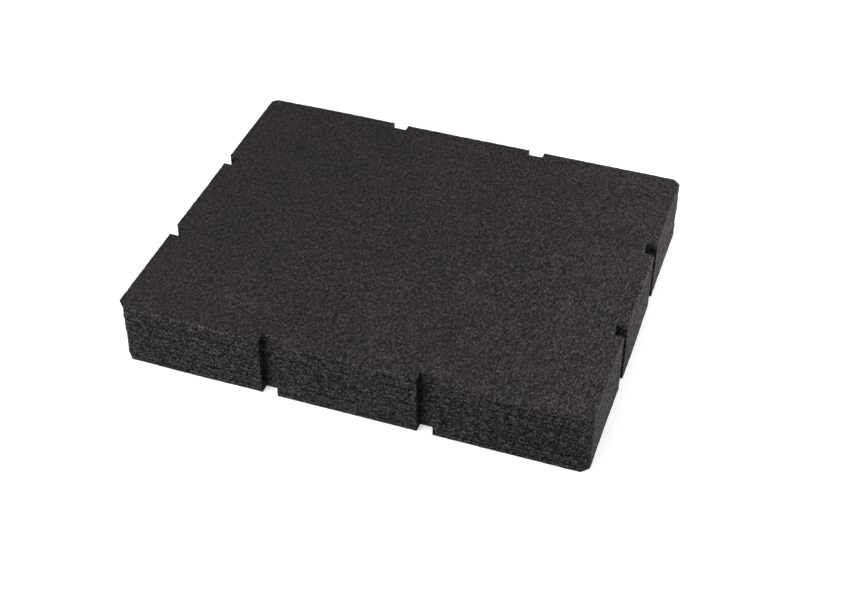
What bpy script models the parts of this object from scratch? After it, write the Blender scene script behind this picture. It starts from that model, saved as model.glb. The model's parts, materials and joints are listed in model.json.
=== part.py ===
"""Foam insert for a tool tray: a stack of bonded foam sheets, cut to shape as one.

Metres, +Z up. The origin is the middle of the underside, +X runs along the longer side and +Y along
the shorter one. Run it with blender --background --python part.py, or from the text editor.
"""

import bmesh
import bpy
from mathutils import Vector

# The slab
WIDTH = 0.420
DEPTH = 0.340
HEIGHT = 0.060
SHEETS = 12
BOND_GAP = 0.0003
SHEET_THICKNESS = (HEIGHT - (SHEETS - 1) * BOND_GAP) / SHEETS
SHEET_PITCH = SHEET_THICKNESS + BOND_GAP

# Upright notches that clear the ribs of the tray: two in each side, evenly placed about its middle
NOTCH_WIDTH = 0.014
NOTCH_DEPTH = 0.008
LONG_SIDE_SPACING = 0.140
SHORT_SIDE_SPACING = 0.116

# Upright corners: a flat cut across each one, and the radii that the cutting die leaves
CORNER_CUT = 0.0075
CORNER_CUT_RADIUS = 0.0020
NOTCH_RADIUS = 0.0010
ARC_SEGMENTS = 2

SKIN_COLOUR = (0.034, 0.031, 0.030, 1.0)
CUT_COLOUR = (0.028, 0.026, 0.025, 1.0)
SKIN_ROUGHNESS = 0.75
CUT_ROUGHNESS = 0.9


def remove_scene_objects():
    for thing in list(bpy.data.objects):
        bpy.data.objects.remove(thing, do_unlink=True)


def foam_material(name, colour, roughness):
    material = bpy.data.materials.new(name)
    material.use_nodes = True
    shader = material.node_tree.nodes["Principled BSDF"]
    shader.inputs["Base Color"].default_value = colour
    shader.inputs["Roughness"].default_value = roughness
    shader.inputs["Metallic"].default_value = 0.0
    return material


def side_points(corner, along, inward, length, spacing):
    """One side of the outline, from its first corner up to, but not including, the next one."""
    points = [corner]
    for place in ((length - spacing) / 2, (length + spacing) / 2):
        middle = corner + along * place
        near = middle - along * NOTCH_WIDTH / 2
        far = middle + along * NOTCH_WIDTH / 2
        points += [near, near + inward * NOTCH_DEPTH, far + inward * NOTCH_DEPTH, far]
    return points


def outline_points():
    """The sharp outline, anticlockwise from the front left corner, as one list of points for each side."""
    right = Vector((1.0, 0.0, 0.0))
    back = Vector((0.0, 1.0, 0.0))
    half = right * WIDTH / 2 + back * DEPTH / 2
    front_left = -half
    front_right = front_left + right * WIDTH
    back_right = half
    back_left = half - right * WIDTH
    return [
        side_points(front_left, right, back, WIDTH, LONG_SIDE_SPACING),
        side_points(front_right, back, -right, DEPTH, SHORT_SIDE_SPACING),
        side_points(back_right, -right, -back, WIDTH, LONG_SIDE_SPACING),
        side_points(back_left, -back, right, DEPTH, SHORT_SIDE_SPACING),
    ]


def round_points(shape, points, radius):
    """Replaces sharp points of a flat outline with arcs."""
    bmesh.ops.bevel(
        shape,
        geom=points,
        offset=radius,
        segments=ARC_SEGMENTS,
        profile=0.5,
        affect="VERTICES",
    )


def sheet_mesh(name):
    """One sheet, its underside at z = 0, extruded from the finished outline."""
    shape = bmesh.new()
    sides = [[shape.verts.new(point) for point in side] for side in outline_points()]
    shape.faces.new([point for side in sides for point in side])
    corners = [side[0] for side in sides]
    notch_points = [point for side in sides for point in side[1:]]
    round_points(shape, notch_points, NOTCH_RADIUS)
    cut = bmesh.ops.bevel(shape, geom=corners, offset=CORNER_CUT, segments=1, affect="VERTICES")
    round_points(shape, cut["verts"], CORNER_CUT_RADIUS)
    top = bmesh.ops.extrude_face_region(shape, geom=shape.faces[:])
    risen = [item for item in top["geom"] if isinstance(item, bmesh.types.BMVert)]
    bmesh.ops.translate(shape, verts=risen, vec=(0.0, 0.0, SHEET_THICKNESS))
    bmesh.ops.recalc_face_normals(shape, faces=shape.faces[:])
    mesh = bpy.data.meshes.new(name)
    shape.to_mesh(mesh)
    shape.free()
    return mesh


def sheet_name(number):
    if number == 1:
        return "bottom_foam_sheet"
    if number == SHEETS:
        return "top_foam_sheet"
    return f"foam_sheet_{number:02d}"


def add_sheet(number, material, parent):
    name = sheet_name(number)
    sheet = bpy.data.objects.new(name, sheet_mesh(name))
    sheet.data.materials.append(material)
    sheet.location.z = (number - 1) * SHEET_PITCH
    sheet.parent = parent
    bpy.context.scene.collection.objects.link(sheet)


def build_insert():
    remove_scene_objects()
    stack = bpy.data.objects.new("foam_insert", None)
    bpy.context.scene.collection.objects.link(stack)
    skin = foam_material("foam_skin", SKIN_COLOUR, SKIN_ROUGHNESS)
    cut_foam = foam_material("foam_cut_edge", CUT_COLOUR, CUT_ROUGHNESS)
    for number in range(1, SHEETS + 1):
        outer = number in (1, SHEETS)
        add_sheet(number, skin if outer else cut_foam, stack)


build_insert()
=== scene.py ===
"""Looks for a laminated foam insert: bonded foam sheets, cut to shape as one stack.

Lengths are in metres. The outline, the sheets' heights and the notches are read from the frame.
"""

import json
import math

import bpy
import numpy as np
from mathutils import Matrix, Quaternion, Vector, geometry, noise


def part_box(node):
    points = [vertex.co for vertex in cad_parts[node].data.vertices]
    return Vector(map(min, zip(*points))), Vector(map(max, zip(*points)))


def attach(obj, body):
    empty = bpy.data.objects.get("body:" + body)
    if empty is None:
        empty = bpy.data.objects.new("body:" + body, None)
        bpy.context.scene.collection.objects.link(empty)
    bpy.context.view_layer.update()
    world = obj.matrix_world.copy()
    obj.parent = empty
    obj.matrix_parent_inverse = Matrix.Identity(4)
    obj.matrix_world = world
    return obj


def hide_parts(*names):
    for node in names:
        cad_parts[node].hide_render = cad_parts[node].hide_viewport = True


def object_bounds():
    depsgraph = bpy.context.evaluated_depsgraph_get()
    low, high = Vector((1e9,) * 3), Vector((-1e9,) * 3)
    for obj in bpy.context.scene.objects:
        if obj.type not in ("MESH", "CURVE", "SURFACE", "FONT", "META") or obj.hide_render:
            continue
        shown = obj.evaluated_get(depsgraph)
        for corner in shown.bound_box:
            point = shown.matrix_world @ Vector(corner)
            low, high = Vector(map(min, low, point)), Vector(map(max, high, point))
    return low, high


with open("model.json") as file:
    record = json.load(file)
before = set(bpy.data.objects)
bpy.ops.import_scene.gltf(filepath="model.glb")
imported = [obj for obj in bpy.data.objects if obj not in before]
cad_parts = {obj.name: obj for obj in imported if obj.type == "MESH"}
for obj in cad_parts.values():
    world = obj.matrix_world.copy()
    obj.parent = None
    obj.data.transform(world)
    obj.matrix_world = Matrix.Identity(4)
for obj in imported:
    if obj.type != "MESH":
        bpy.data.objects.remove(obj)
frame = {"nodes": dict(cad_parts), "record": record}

MM = 0.001
CAD_LOW, CAD_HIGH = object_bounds()

# The stack, from the frame
SHEETS = sorted(frame["nodes"], key=lambda name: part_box(name)[0].z)
HALF_WIDTH = CAD_HIGH.x
HALF_DEPTH = CAD_HIGH.y
HEIGHT = CAD_HIGH.z
PITCH = HEIGHT / len(SHEETS)

# The cut outline
NOTCH_WIDTH = 14 * MM
NOTCH_RADIUS = 0.8 * MM
NOTCH_DEEPER = {"front": 0.8 * MM, "right": 2.0 * MM, "back": 0.0, "left": 0.5 * MM}
BACK_NOTCH_SLIP = -2.0 * MM
CORNER_CUTS = (7.5 * MM, 6.4 * MM, 6.8 * MM, 5.0 * MM)
CORNER_RADII = (3.0 * MM, 1.6 * MM, 2.0 * MM, 2.0 * MM)
SPREAD = 0.65 * MM
OUTLINE_STEP = 0.8 * MM
ARC_POINTS = 4
NORMAL_SMOOTHING = 6

# The cut walls: rows up each sheet, the seams that the bonds leave, and the torn cells
WALL_ROWS = 9
BOND_SEAM = 0.02 * MM
LIP_HEIGHT = 0.8 * MM
LIP_DEPTH = 0.7 * MM
BOND_DEPTHS = (1.4, 0.4, 2.1, 1.6, 1.0, 1.1, 0.4, 1.1, 2.0, 0.5, 1.0)
BOND_VARIATION = 0.6
BOND_VARIATION_LENGTH = 14 * MM
BOND_LIMITS = (0.05, 1.9)
# How far down from the top the painted highlight on the cut walls reaches
PAINTED_RIM_HIGHLIGHT_BAND = 5 * MM
TOP_RIM_RADIUS = 0.8 * MM
BOTTOM_RIM_RADIUS = 0.4 * MM
RIM_ROWS = 3
TAPER = 0.25 * MM
WAVE = 0.3 * MM
WAVE_LENGTH = 90 * MM
SHEET_SHIFT = 0.12 * MM
SHEET_SHIFT_LENGTH = 60 * MM
TORN_CELL = 1.8 * MM
TORN_DEPTH = 0.35 * MM
DRAG = 0.9 * MM
DRAG_HEIGHT = 0.10 * MM
DRAG_STRETCH = (9.0, 9.0, 1.0)
LUMP = 5 * MM
LUMP_HEIGHT = 0.12 * MM
ROW_CROWDING = 0.35
NOTCH_ROUGHNESS = 0.2
CALM_REACH = 4 * MM

# The front left corner, which stands in under its skin
LEAN = 2.0 * MM
LEAN_AT_FRONT = 0.3
LEAN_REACH = 45 * MM
LEAN_DEPTH = 8 * MM

# The skins
SKIN_STEP = 1.5 * MM
HIDDEN_STEP = 14 * MM
SKIN_JITTER = 0.18
SKIN_SWELL = 0.25 * MM
SKIN_SWELL_LENGTH = 70 * MM
PEBBLE = 3.2 * MM
PEBBLE_HEIGHT = 0.10 * MM

# The materials' patterns, and how far their bumps stand out
SKIN_STRETCH = (1.0, 0.65, 1.0)
SKIN_PEBBLE = 1.9 * MM
SKIN_GRAIN = 1.25 * MM
SKIN_SPECK = 1.1 * MM
SKIN_CLOUD = 40 * MM
SKIN_BUMP = 2.8 * MM
CUT_CELL = 1.3 * MM
CUT_GRAIN = 1.0 * MM
CUT_STREAK = 1.1 * MM
CUT_STREAK_STRETCH = (0.35, 0.35, 1.0)
SEAM_REACH = 0.9 * MM
CUT_BUMP = 1.2 * MM

# Camera and light
CAMERA_AT = Vector((0.3515, -1.0053, 0.9038))
CAMERA_AIM = Vector((0.0295, -0.0399, 0.0300))
CAMERA_ROLL = math.radians(0.665)
CAMERA_LENS = 63.07
SENSOR_WIDTH = 36.0

FLOOR_SIZE = 30.0
FLOOR_GAP = 0.2 * MM
FLOOR_CLOUD = 0.6
FLOOR_GLOW = 0.35
BACKDROP_HEIGHT = 8.0
BACKDROP_CLOUD = 3.0
WHITE = (1.0, 1.0, 1.0)
WARM = (1.0, 0.96, 0.94)
LIGHT_FROM_BELOW = (0.3, 0.3, 0.3)
LIGHT_FROM_ABOVE = (0.12, 0.12, 0.12)

rng = np.random.default_rng(7)


# ---------------------------------------------------------------- helpers

def noise_at(points, size, seed=0.0):
    """Smooth noise, about -1 to 1, with lumps about size across, at each row of points."""
    scaled = np.asarray(points) / size + seed
    return np.array([noise.noise(Vector(point)) for point in scaled]) * 1.6


def cells_at(points, size, seed=0.0):
    """0 on the walls between cells of that size, rising to about 1 inside them."""
    scaled = np.asarray(points) / size + seed
    gaps = np.empty(len(scaled))
    for index, point in enumerate(scaled):
        near, next_near = noise.voronoi(Vector(point))[0][:2]
        gaps[index] = next_near - near
    return np.clip(gaps / 0.6, 0.0, 1.0)


def smooth_step(low, high, value):
    share = np.clip((value - low) / (high - low), 0.0, 1.0)
    return share * share * (3.0 - 2.0 * share)


def at_height(points, z):
    """Flat points as 3-D ones."""
    return np.column_stack([points, np.broadcast_to(z, len(points))])


def add_mesh(name, points, faces, face_slots, materials):
    """A shaded piece from points, faces of three or four corners, and a material number for each face."""
    mesh = bpy.data.meshes.new(name)
    corners = np.array([len(face) for face in faces])
    mesh.vertices.add(len(points))
    mesh.vertices.foreach_set("co", np.asarray(points, np.float32).ravel())
    mesh.loops.add(int(corners.sum()))
    mesh.loops.foreach_set("vertex_index", np.concatenate(faces).astype(np.int32))
    mesh.polygons.add(len(faces))
    starts = np.concatenate([[0], np.cumsum(corners)[:-1]])
    mesh.polygons.foreach_set("loop_start", starts.astype(np.int32))
    mesh.polygons.foreach_set("material_index", np.asarray(face_slots, np.int32))
    for material in materials:
        mesh.materials.append(material)
    mesh.update(calc_edges=True)
    mesh.validate()
    mesh.shade_smooth()
    piece = bpy.data.objects.new(name, mesh)
    bpy.context.scene.collection.objects.link(piece)
    return piece


# ---------------------------------------------------------------- outline

def notch_places():
    """Each notch as (outward normal, middle of its back wall), from the record's mounts."""
    places = []
    for mount in frame["record"]["mounts"]:
        side, is_notch, _ = mount["name"].partition("_notch_")
        if is_notch:
            facing = Vector(mount["axis"]).to_2d()
            slip = BACK_NOTCH_SLIP if side == "back" else 0.0
            back = Vector(mount["pos_m"]).to_2d() + Vector((slip, 0.0))
            places.append((facing, back + facing * (SPREAD - NOTCH_DEEPER[side])))
    return places


def sharp_outline():
    """Corners of the outline, each with its radius, anticlockwise from the front left."""
    corners = []
    half = Vector((HALF_WIDTH + SPREAD, HALF_DEPTH + SPREAD))
    normals = (Vector((0, -1)), Vector((1, 0)), Vector((0, 1)), Vector((-1, 0)))
    for index, normal in enumerate(normals):
        along = Vector((-normal.y, normal.x))
        edge = normal * abs(normal.dot(half))
        reach = abs(along.dot(half))
        corners.append((edge - along * (reach - CORNER_CUTS[index]), CORNER_RADII[index]))
        backs = [back for facing, back in notch_places() if facing.dot(normal) > 0.5]
        for back in sorted(backs, key=along.dot):
            mouth = normal * (edge.dot(normal) - back.dot(normal))
            near = back - along * NOTCH_WIDTH / 2
            far = back + along * NOTCH_WIDTH / 2
            corners += [(point, NOTCH_RADIUS) for point in (near + mouth, near, far, far + mouth)]
        after = (index + 1) % 4
        corners.append((edge + along * (reach - CORNER_CUTS[after]), CORNER_RADII[after]))
    return corners


def corner_arc(before, corner, after, radius):
    """Points of the arc that rounds one corner of the outline."""
    come = (corner - before).normalized()
    go = (after - corner).normalized()
    turn = math.atan2(come.x * go.y - come.y * go.x, come.dot(go))
    start = corner - come * radius * abs(math.tan(turn / 2))
    arm = Vector((come.y, -come.x)) * math.copysign(radius, turn)
    centre = start - arm
    points = []
    for number in range(ARC_POINTS + 1):
        cos = math.cos(turn * number / ARC_POINTS)
        sin = math.sin(turn * number / ARC_POINTS)
        points.append(centre + Vector((arm.x * cos - arm.y * sin, arm.x * sin + arm.y * cos)))
    return points


def fine_outline():
    """The rounded outline as closely spaced points, one row each."""
    corners = sharp_outline()
    rounded = []
    for index, (corner, radius) in enumerate(corners):
        after = corners[(index + 1) % len(corners)][0]
        rounded += corner_arc(corners[index - 1][0], corner, after, radius)
    points = []
    for index, start in enumerate(rounded):
        end = rounded[(index + 1) % len(rounded)]
        steps = max(1, round((end - start).length / OUTLINE_STEP))
        points += [start.lerp(end, number / steps) for number in range(steps)]
    return np.array([tuple(point) for point in points])


def outward_normals(outline):
    """Normals that turn gradually round each corner, so a wall can move in and out without folding."""
    run = np.roll(outline, -1, axis=0) - np.roll(outline, 1, axis=0)
    normals = np.column_stack([run[:, 1], -run[:, 0]])
    for _ in range(NORMAL_SMOOTHING):
        normals /= np.linalg.norm(normals, axis=1, keepdims=True)
        normals = np.roll(normals, 1, axis=0) + 2.0 * normals + np.roll(normals, -1, axis=0)
    return normals / np.linalg.norm(normals, axis=1, keepdims=True)


OUTLINE = fine_outline()
NORMALS = outward_normals(OUTLINE)


def well_inside(points, margin):
    """True for the points that lie at least margin inside the outline."""
    side = np.abs(points)
    keep = (side[:, 0] < HALF_WIDTH - margin) & (side[:, 1] < HALF_DEPTH - margin)
    cut = HALF_WIDTH + HALF_DEPTH - max(CORNER_CUTS) - margin * math.sqrt(2)
    keep &= side.sum(axis=1) < cut
    for facing, back in notch_places():
        out = points @ np.array(facing) - facing.dot(back)
        across = np.abs((points - np.array(back)) @ np.array((-facing.y, facing.x)))
        keep &= (out < -margin) | (across > NOTCH_WIDTH / 2 + margin)
    return keep


def fill_ring(ring, spacing):
    """Fills a ring of flat points: (the points added inside it, triangles over ring and added points)."""
    rise = spacing * math.sqrt(3) / 2
    rows = np.arange(-HALF_DEPTH, HALF_DEPTH, rise)
    columns = np.arange(-HALF_WIDTH, HALF_WIDTH, spacing)
    grid = [
        np.column_stack([columns + (number % 2) * spacing / 2, np.full(len(columns), row)])
        for number, row in enumerate(rows)
    ]
    inside = np.concatenate(grid)
    inside += rng.uniform(-SKIN_JITTER, SKIN_JITTER, inside.shape) * spacing
    inside = inside[well_inside(inside, TOP_RIM_RADIUS + WAVE + spacing * 0.7)]
    points = [Vector(point / MM) for point in np.concatenate([ring, inside])]
    edges = [(index, (index + 1) % len(ring)) for index in range(len(ring))]
    found = geometry.delaunay_2d_cdt(points, edges, [], 1, 1e-5)
    original = np.array([sources[0] for sources in found[3]])
    triangles = original[np.array(found[2])]
    return inside, triangles


# ---------------------------------------------------------------- the sheets

def outline_wave():
    """How far the die wandered from the true outline, the same through the whole stack."""
    return WAVE * noise_at(at_height(OUTLINE, 0.0), WAVE_LENGTH, 3.7)


def roughness():
    """How rough the cut is along the outline: 1 on the sides, and less on the notches' clean walls."""
    calm = np.ones(len(OUTLINE))
    for facing, back in notch_places():
        gap = OUTLINE - np.array(back)
        beyond = np.abs(gap @ np.array((-facing.y, facing.x))) - NOTCH_WIDTH / 2
        here = gap @ np.array(facing) > -NOTCH_WIDTH / 2
        calm = np.where(here, np.minimum(calm, smooth_step(0.0, CALM_REACH, beyond)), calm)
    return NOTCH_ROUGHNESS + (1.0 - NOTCH_ROUGHNESS) * calm


def corner_lean(depth):
    """How far the front left corner stands in, that far below the top."""
    gap = OUTLINE - np.array((-HALF_WIDTH, -HALF_DEPTH))
    near = np.exp(-(np.linalg.norm(gap, axis=1) / LEAN_REACH) ** 2)
    leftward = np.clip(LEAN_AT_FRONT - NORMALS[:, 0], 0.0, 1.0)
    return LEAN * near * leftward * smooth_step(0.0, LEAN_DEPTH, depth)


def lip(rise, strength):
    """How far the wall draws in at a height above or below a bond."""
    return -LIP_DEPTH * strength * (1.0 - smooth_step(0.0, LIP_HEIGHT, rise))


def bond_strength(bond):
    """How deep the seam is along the outline at one bond, counted from 0 at the lowest."""
    along = noise_at(at_height(OUTLINE, bond * 0.1), BOND_VARIATION_LENGTH, 11.3)
    return np.clip(BOND_DEPTHS[bond] + BOND_VARIATION * along, *BOND_LIMITS)


def torn_wall(points):
    """The roughness of cut cells, in metres, at points on the wall."""
    pits = -TORN_DEPTH * cells_at(points, TORN_CELL, 5.1)
    drag = DRAG_HEIGHT * noise_at(points / DRAG_STRETCH, DRAG, 8.2)
    swells = LUMP_HEIGHT * noise_at(points, LUMP, 2.9)
    return pits + drag + swells


def rim_arc(radius):
    """A rounded rim as (distance up or down from the wall's end, inset) for each row."""
    turns = np.linspace(0.0, math.pi / 2, RIM_ROWS + 1)[1:]
    return [(radius * math.sin(turn), radius * (1.0 - math.cos(turn))) for turn in turns]


def wall_profile(is_bottom, is_top):
    """Rows up a sheet's wall: (height above its underside, inset) for each."""
    low = BOTTOM_RIM_RADIUS if is_bottom else 0.0
    high = PITCH - (TOP_RIM_RADIUS if is_top else BOND_SEAM)
    rows = [(height, 0.0) for height in low + (high - low) * ROW_SHARES]
    if is_bottom:
        rows = [(low - rise, inset) for rise, inset in rim_arc(low)[::-1]] + rows
    if is_top:
        rows += [(high + rise, inset) for rise, inset in rim_arc(TOP_RIM_RADIUS)]
    return rows


def skin_height(points):
    """How far a skin swells and pebbles, in metres, at flat points."""
    flat = at_height(points, 0.0)
    swell = SKIN_SWELL * noise_at(flat, SKIN_SWELL_LENGTH, 1.3)
    pebbles = PEBBLE_HEIGHT * noise_at(flat, PEBBLE, 6.4)
    return swell + pebbles


OUTLINE_WAVE = outline_wave()
ROUGHNESS = roughness()
EVEN_SHARES = np.linspace(0.0, 1.0, WALL_ROWS)
ROW_SHARES = EVEN_SHARES - ROW_CROWDING * np.sin(2 * math.pi * EVEN_SHARES) / (2 * math.pi)


def sheet_rows(number):
    """Every row of one sheet's wall, from its underside up, as an array of (rows, outline points, 3)."""
    is_bottom = number == 0
    is_top = number == len(SHEETS) - 1
    base = number * PITCH
    drift = noise_at(at_height(OUTLINE, number * 1.0), SHEET_SHIFT_LENGTH)
    shift = SHEET_SHIFT * (rng.normal() + drift)
    rows = []
    for height, inset in wall_profile(is_bottom, is_top):
        z = base + height
        rough = shift + torn_wall(at_height(OUTLINE, z))
        if not is_bottom:
            rough += lip(height, bond_strength(number - 1))
        if not is_top:
            rough += lip(PITCH - height, bond_strength(number))
        taper = TAPER * (1.0 - 2.0 * z / HEIGHT)
        out = taper + OUTLINE_WAVE + ROUGHNESS * (rough - inset) - corner_lean(HEIGHT - z)
        row = at_height(OUTLINE + NORMALS * out[:, None], z)
        if is_top:
            row[:, 2] += smooth_step(PITCH * 0.4, PITCH, height) * skin_height(row[:, :2])
        rows.append(row)
    return np.array(rows)


def band_faces(rows, around):
    """Quads between neighbouring rows of a ring with that many points around it."""
    first = np.arange(around)
    after = (first + 1) % around
    bands = []
    for row in range(rows - 1):
        low, high = row * around, (row + 1) * around
        bands.append(np.column_stack([low + first, low + after, high + after, high + first]))
    return np.concatenate(bands)


def add_sheet(number, skin, cut_foam):
    """One foam sheet: its torn wall, and the skin or the bonded face above and below it."""
    is_bottom = number == 0
    is_top = number == len(SHEETS) - 1
    rows = sheet_rows(number)
    around = len(OUTLINE)
    walls = band_faces(len(rows), around)
    points = [rows.reshape(-1, 3)]
    over_ring = rows[-1][:, :2]
    over_inside, over_faces = fill_ring(over_ring, SKIN_STEP if is_top else HIDDEN_STEP)
    over_z = rows[-1][:, 2].max() if not is_top else HEIGHT + skin_height(over_inside)
    points.append(at_height(over_inside, over_z))
    start = (len(rows) - 1) * around
    over_faces = over_faces + start
    under_ring = rows[0][:, :2]
    under_inside, under_faces = fill_ring(under_ring, SKIN_STEP * 2 if is_bottom else HIDDEN_STEP)
    points.append(at_height(under_inside, rows[0][0, 2]))
    moved = len(rows) * around + len(over_inside) - around
    under_faces = np.where(under_faces < around, under_faces, under_faces + moved)[:, ::-1]
    faces = list(walls) + list(over_faces) + list(under_faces)
    slots = [0] * len(walls) + [int(is_top)] * len(over_faces) + [int(is_bottom)] * len(under_faces)
    name = SHEETS[number] + "_cut"
    piece = add_mesh(name, np.concatenate(points), faces, slots, [cut_foam, skin])
    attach(piece, "root")
    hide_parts(SHEETS[number])


# ---------------------------------------------------------------- materials

def add_node(tree, kind, inputs=None, **settings):
    """Adds a node, sets its properties, and fills its inputs with values or with other sockets."""
    made = tree.nodes.new(kind)
    for name, value in settings.items():
        setattr(made, name, value)
    for key, value in (inputs or {}).items():
        if isinstance(value, bpy.types.NodeSocket):
            tree.links.new(value, made.inputs[key])
        else:
            made.inputs[key].default_value = value
    return made


def new_material(name):
    """A new material: itself, its node tree, its shader, and the place that its patterns follow."""
    material = bpy.data.materials.new(name)
    material.use_nodes = True
    tree = material.node_tree
    shader = tree.nodes["Principled BSDF"]
    place = add_node(tree, "ShaderNodeTexCoord").outputs["Object"]
    return material, tree, shader, place


def stretched(tree, place, scale):
    """The same place, drawn out along the axes whose scale is under 1."""
    return add_node(tree, "ShaderNodeMapping", {"Vector": place, "Scale": scale}).outputs[0]


def lumps(tree, place, size, detail=2.0, rough=0.5):
    """Smooth noise, about 0.3 to 0.7."""
    return add_node(
        tree,
        "ShaderNodeTexNoise",
        {"Vector": place, "Scale": 1.0 / size, "Detail": detail, "Roughness": rough},
    ).outputs["Fac"]


def cells(tree, place, size, feature="F1"):
    """A cell pattern: its distances, 0 at the middle of each cell, and a random colour for each cell."""
    return add_node(
        tree,
        "ShaderNodeTexVoronoi",
        {"Vector": place, "Scale": 1.0 / size},
        feature=feature,
    ).outputs


def combine(tree, operation, first, second):
    """Two values joined by one Math operation."""
    return add_node(tree, "ShaderNodeMath", {0: first, 1: second}, operation=operation).outputs[0]


def weigh(tree, parts):
    """The sum of values, each times its weight."""
    total = None
    for value, weight in parts:
        part = combine(tree, "MULTIPLY", value, weight)
        total = part if total is None else combine(tree, "ADD", total, part)
    return total


def span(tree, value, low, high, to_low, to_high):
    """A value's range carried over to another range, and held at its ends."""
    return add_node(
        tree,
        "ShaderNodeMapRange",
        {"Value": value, "From Min": low, "From Max": high, "To Min": to_low, "To Max": to_high},
    ).outputs["Result"]


def tint(tree, value, stops):
    """A colour ramp over a value, from (position, colour) stops."""
    ramp = add_node(tree, "ShaderNodeValToRGB", {"Fac": value})
    band = ramp.color_ramp
    while len(band.elements) < len(stops):
        band.elements.new(0.0)
    for element, (place, colour) in zip(band.elements, stops):
        element.position = place
        element.color = (*colour, 1.0)
    return ramp.outputs["Color"]


def bond_shade(tree, rise):
    """How dark the seam is at a height, from the depth of the nearest bonds."""
    stops = [((bond + 1) / len(SHEETS), (depth / 4,) * 3) for bond, depth in enumerate(BOND_DEPTHS)]
    return tint(tree, combine(tree, "DIVIDE", rise, HEIGHT), stops)


def charcoal(level):
    """A dark grey, very slightly warm."""
    return (level * 1.07, level * 0.98, level * 0.995)


def brown(level):
    """A dark grey, a little warmer."""
    return (level * 1.15, level * 0.96, level * 1.0)


def skin_material():
    """Closed-cell skin: near black, finely pebbled, with dark pores between the pebbles; painted glints and
    painted contrast that grow towards the right, and painted shade that darkens it towards the right.
    """
    material, tree, shader, place = new_material("foam_skin_looks")
    drawn = stretched(tree, place, SKIN_STRETCH)
    pebbles = span(tree, cells(tree, drawn, SKIN_PEBBLE, "SMOOTH_F1")["Distance"], 0.1, 0.7, 1.0, 0.0)
    grain = lumps(tree, drawn, SKIN_GRAIN)
    cloud = lumps(tree, place, SKIN_CLOUD)
    speck = cells(tree, drawn, SKIN_SPECK)["Color"]
    speck = add_node(tree, "ShaderNodeSeparateColor", {"Color": speck}).outputs["Red"]
    across = add_node(tree, "ShaderNodeSeparateXYZ", {"Vector": place}).outputs["X"]
    # Bumps and colour contrast grow towards the right: the bumps are real relief, while the growing colour
    # contrast is painted, standing in for light raking in from the right.
    relief_and_painted_contrast = span(tree, across, -HALF_WIDTH, HALF_WIDTH, 0.75, 1.25)
    # Painted glints: how strongly random cells lighten the colour, more towards the right, standing in for
    # highlights where the light from the right catches the skin.
    painted_glint_strength = span(tree, across, -HALF_WIDTH, HALF_WIDTH, 0.05, 0.42)
    height = combine(tree, "MULTIPLY", weigh(tree, [(pebbles, 0.5), (grain, 1.0), (speck, 0.2)]), relief_and_painted_contrast)
    swing = weigh(tree, [(grain, 0.5), (pebbles, 0.3), (cloud, 0.1), (1.0, -0.45)])
    # Painted shade: the skin's colour is a little lighter at the left and darker towards the right,
    # tempering how the light falls across the top.
    painted_shade_towards_right = span(tree, across, -HALF_WIDTH, HALF_WIDTH, 0.51, 0.485)
    # Painted glints: the random cell tone, centred on zero, lightening or darkening the colour.
    painted_glint = weigh(tree, [(speck, 1.0), (1.0, -0.5)])
    shade = weigh(
        tree,
        [
            (combine(tree, "MULTIPLY", swing, relief_and_painted_contrast), 1.0),
            (combine(tree, "MULTIPLY", painted_glint, painted_glint_strength), 1.0),
            (painted_shade_towards_right, 1.0),
        ],
    )
    colour = tint(tree, shade, [(0.35, brown(0.002)), (0.50, brown(0.0165)), (0.65, brown(0.060))])
    tree.links.new(colour, shader.inputs["Base Color"])
    tree.links.new(span(tree, grain, 0.3, 0.7, 0.65, 0.45), shader.inputs["Roughness"])
    shader.inputs["Specular IOR Level"].default_value = 0.25
    bump = add_node(tree, "ShaderNodeBump", {"Height": height, "Strength": 1.0, "Distance": SKIN_BUMP})
    tree.links.new(bump.outputs["Normal"], shader.inputs["Normal"])
    return material


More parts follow.
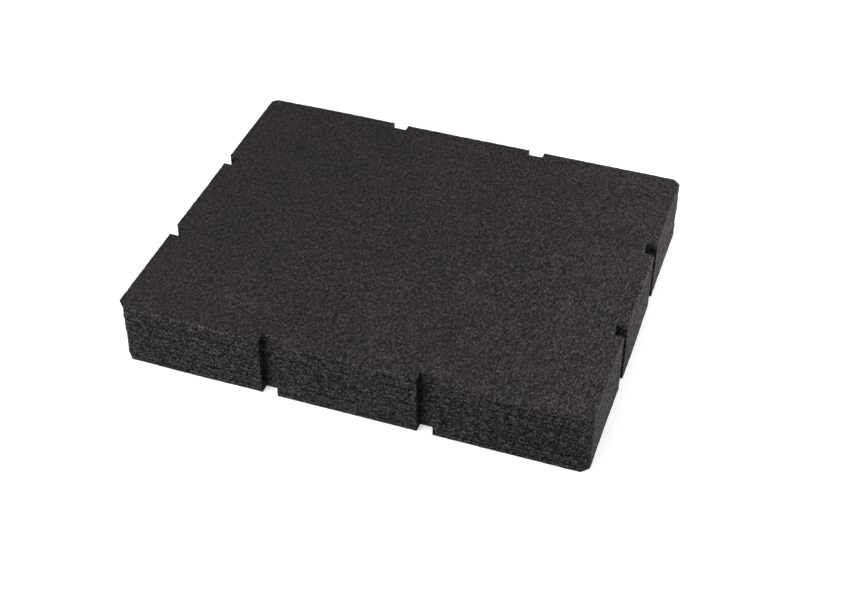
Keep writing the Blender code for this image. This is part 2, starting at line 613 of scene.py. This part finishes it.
def cut_material():
    """Cut foam: torn open cells with painted shade in their holes, streaks where the blade dragged, a dark
    broken line at each bond, and a painted highlight along the top rim.
    """
    material, tree, shader, place = new_material("foam_cut_looks")
    torn = cells(tree, place, CUT_CELL)
    grain = lumps(tree, place, CUT_GRAIN, 3.0, 0.7)
    streaks = lumps(tree, stretched(tree, place, CUT_STREAK_STRETCH), CUT_STREAK)
    rise = add_node(tree, "ShaderNodeSeparateXYZ", {"Vector": place}).outputs["Z"]
    # Painted highlight: the wall's colour is lightened towards the top rim, where the edge catches more
    # light.
    rim = span(tree, rise, HEIGHT - PAINTED_RIM_HIGHLIGHT_BAND, HEIGHT, 0.0, 1.0)
    seam_gap = combine(tree, "PINGPONG", rise, PITCH / 2)
    broken = combine(tree, "MULTIPLY", span(tree, streaks, 0.38, 0.58, 0.0, 1.0), bond_shade(tree, rise))
    seam = combine(tree, "MULTIPLY", span(tree, seam_gap, 0.0, SEAM_REACH, 1.0, 0.0), broken)
    level = add_node(tree, "ShaderNodeSeparateColor", {"Color": torn["Color"]}).outputs["Red"]
    # The deepest torn cells as holes: sunk in by the bump, and darkened in colour as painted shade in the
    # hollows.
    hole_with_painted_shade = span(tree, level, 0.12, 0.18, 1.0, 0.0)
    height = weigh(
        tree, [(torn["Distance"], -0.8), (grain, 1.0), (streaks, 0.4), (level, 0.4), (hole_with_painted_shade, -0.4)]
    )
    shade = weigh(
        tree,
        [
            (grain, 0.45),
            (streaks, 0.35),
            (torn["Distance"], -0.2),
            (level, 0.25),
            (seam, -0.28),
            (hole_with_painted_shade, -0.1),
            (rim, 0.04),
        ],
    )
    colour = tint(
        tree,
        shade,
        [(0.31, charcoal(0.001)), (0.42, charcoal(0.027)), (0.52, charcoal(0.072)), (0.66, charcoal(0.16))],
    )
    tree.links.new(colour, shader.inputs["Base Color"])
    shader.inputs["Roughness"].default_value = 0.7
    shader.inputs["Specular IOR Level"].default_value = 0.2
    bump = add_node(tree, "ShaderNodeBump", {"Height": height, "Strength": 1.0, "Distance": CUT_BUMP})
    tree.links.new(bump.outputs["Normal"], shader.inputs["Normal"])
    return material


def floor_material():
    """Plain pale matt floor that glows a little, very slightly uneven in tone."""
    material, tree, shader, place = new_material("floor_looks")
    cloud = lumps(tree, place, FLOOR_CLOUD)
    tone = tint(tree, cloud, [(0.3, (0.88, 0.88, 0.88)), (0.7, (0.90, 0.90, 0.90))])
    tree.links.new(tone, shader.inputs["Base Color"])
    shader.inputs["Roughness"].default_value = 0.9
    shader.inputs["Specular IOR Level"].default_value = 0.2
    shader.inputs["Emission Color"].default_value = (*WHITE, 1.0)
    shader.inputs["Emission Strength"].default_value = FLOOR_GLOW
    return material


def backdrop_material():
    """Plain white, very slightly uneven in tone."""
    material, tree, shader, place = new_material("backdrop_looks")
    cloud = lumps(tree, place, BACKDROP_CLOUD)
    tone = tint(tree, cloud, [(0.3, (0.99, 0.99, 0.99)), (0.7, WHITE)])
    tree.links.new(tone, shader.inputs["Emission Color"])
    shader.inputs["Emission Strength"].default_value = 1.0
    shader.inputs["Roughness"].default_value = 1.0
    return material


# ---------------------------------------------------------------- stage

def add_camera():
    data = bpy.data.cameras.new("camera")
    data.sensor_width = SENSOR_WIDTH
    data.lens = CAMERA_LENS
    camera = bpy.data.objects.new("camera", data)
    bpy.context.scene.collection.objects.link(camera)
    camera.location = CAMERA_AT
    camera.rotation_mode = "QUATERNION"
    facing = (CAMERA_AIM - CAMERA_AT).to_track_quat("-Z", "Y")
    camera.rotation_quaternion = facing @ Quaternion((0.0, 0.0, 1.0), CAMERA_ROLL)
    bpy.context.scene.camera = camera


def direction(azimuth, elevation):
    """Towards a light. Azimuth 0 is in front of the slab, and 90 is to its right."""
    turn, lift = math.radians(azimuth), math.radians(elevation)
    return Vector((math.sin(turn) * math.cos(lift), -math.cos(turn) * math.cos(lift), math.sin(lift)))


def add_overhead(strength, spread):
    """A wide soft light high above, even all over the floor."""
    data = bpy.data.lights.new("overhead", "SUN")
    data.angle = math.radians(spread)
    data.energy = strength
    light = bpy.data.objects.new("overhead", data)
    bpy.context.scene.collection.objects.link(light)


def add_panel(name, azimuth, elevation, distance, size, watts, colour):
    """A square soft light near the slab, aimed at it."""
    away = direction(azimuth, elevation)
    data = bpy.data.lights.new(name, "AREA")
    data.size = size
    data.energy = watts
    data.color = colour
    light = bpy.data.objects.new(name, data)
    light.location = away * distance + Vector((0.0, 0.0, HEIGHT / 2))
    light.rotation_mode = "QUATERNION"
    light.rotation_quaternion = (-away).to_track_quat("-Z", "Y")
    light.visible_camera = False
    bpy.context.scene.collection.objects.link(light)


def add_floor():
    """A pale floor, lit a little from below, as acrylic is. It throws no light back up at the foam."""
    bpy.ops.mesh.primitive_plane_add(size=FLOOR_SIZE)
    floor = bpy.context.object
    floor.name = "floor"
    floor.location.z = -FLOOR_GAP
    floor.data.materials.append(floor_material())
    floor.visible_diffuse = False
    floor.visible_glossy = False


def add_backdrop():
    """A round white wall behind the floor. It throws no light on the foam either."""
    bpy.ops.mesh.primitive_cylinder_add(
        vertices=96, radius=FLOOR_SIZE / 2, depth=BACKDROP_HEIGHT, end_fill_type="NOTHING"
    )
    backdrop = bpy.context.object
    backdrop.name = "backdrop"
    backdrop.data.materials.append(backdrop_material())
    backdrop.visible_diffuse = False
    backdrop.visible_glossy = False
    backdrop.visible_shadow = False


def add_world():
    """A dim studio: even light from above, and from below what a pale floor would throw back up."""
    world = bpy.data.worlds.new("studio")
    world.use_nodes = True
    tree = world.node_tree
    facing = add_node(tree, "ShaderNodeTexCoord").outputs["Generated"]
    rise = add_node(tree, "ShaderNodeSeparateXYZ", {"Vector": facing}).outputs["Z"]
    light = tint(tree, rise, [(0.0, LIGHT_FROM_BELOW), (0.02, LIGHT_FROM_ABOVE)])
    tree.links.new(light, tree.nodes["Background"].inputs["Color"])
    bpy.context.scene.world = world


def add_stage():
    add_camera()
    add_floor()
    add_backdrop()
    add_world()
    add_overhead(1.79, 60)
    add_panel("front_fill", -28, 26, 1.2, 1.0, 13, WHITE)
    add_panel("right_key", 114, 6.5, 1.2, 0.45, 18, WARM)
    bpy.context.scene.view_settings.view_transform = "Standard"


add_stage()
SKIN = skin_material()
CUT_FOAM = cut_material()
for sheet_number in range(len(SHEETS)):
    add_sheet(sheet_number, SKIN, CUT_FOAM)
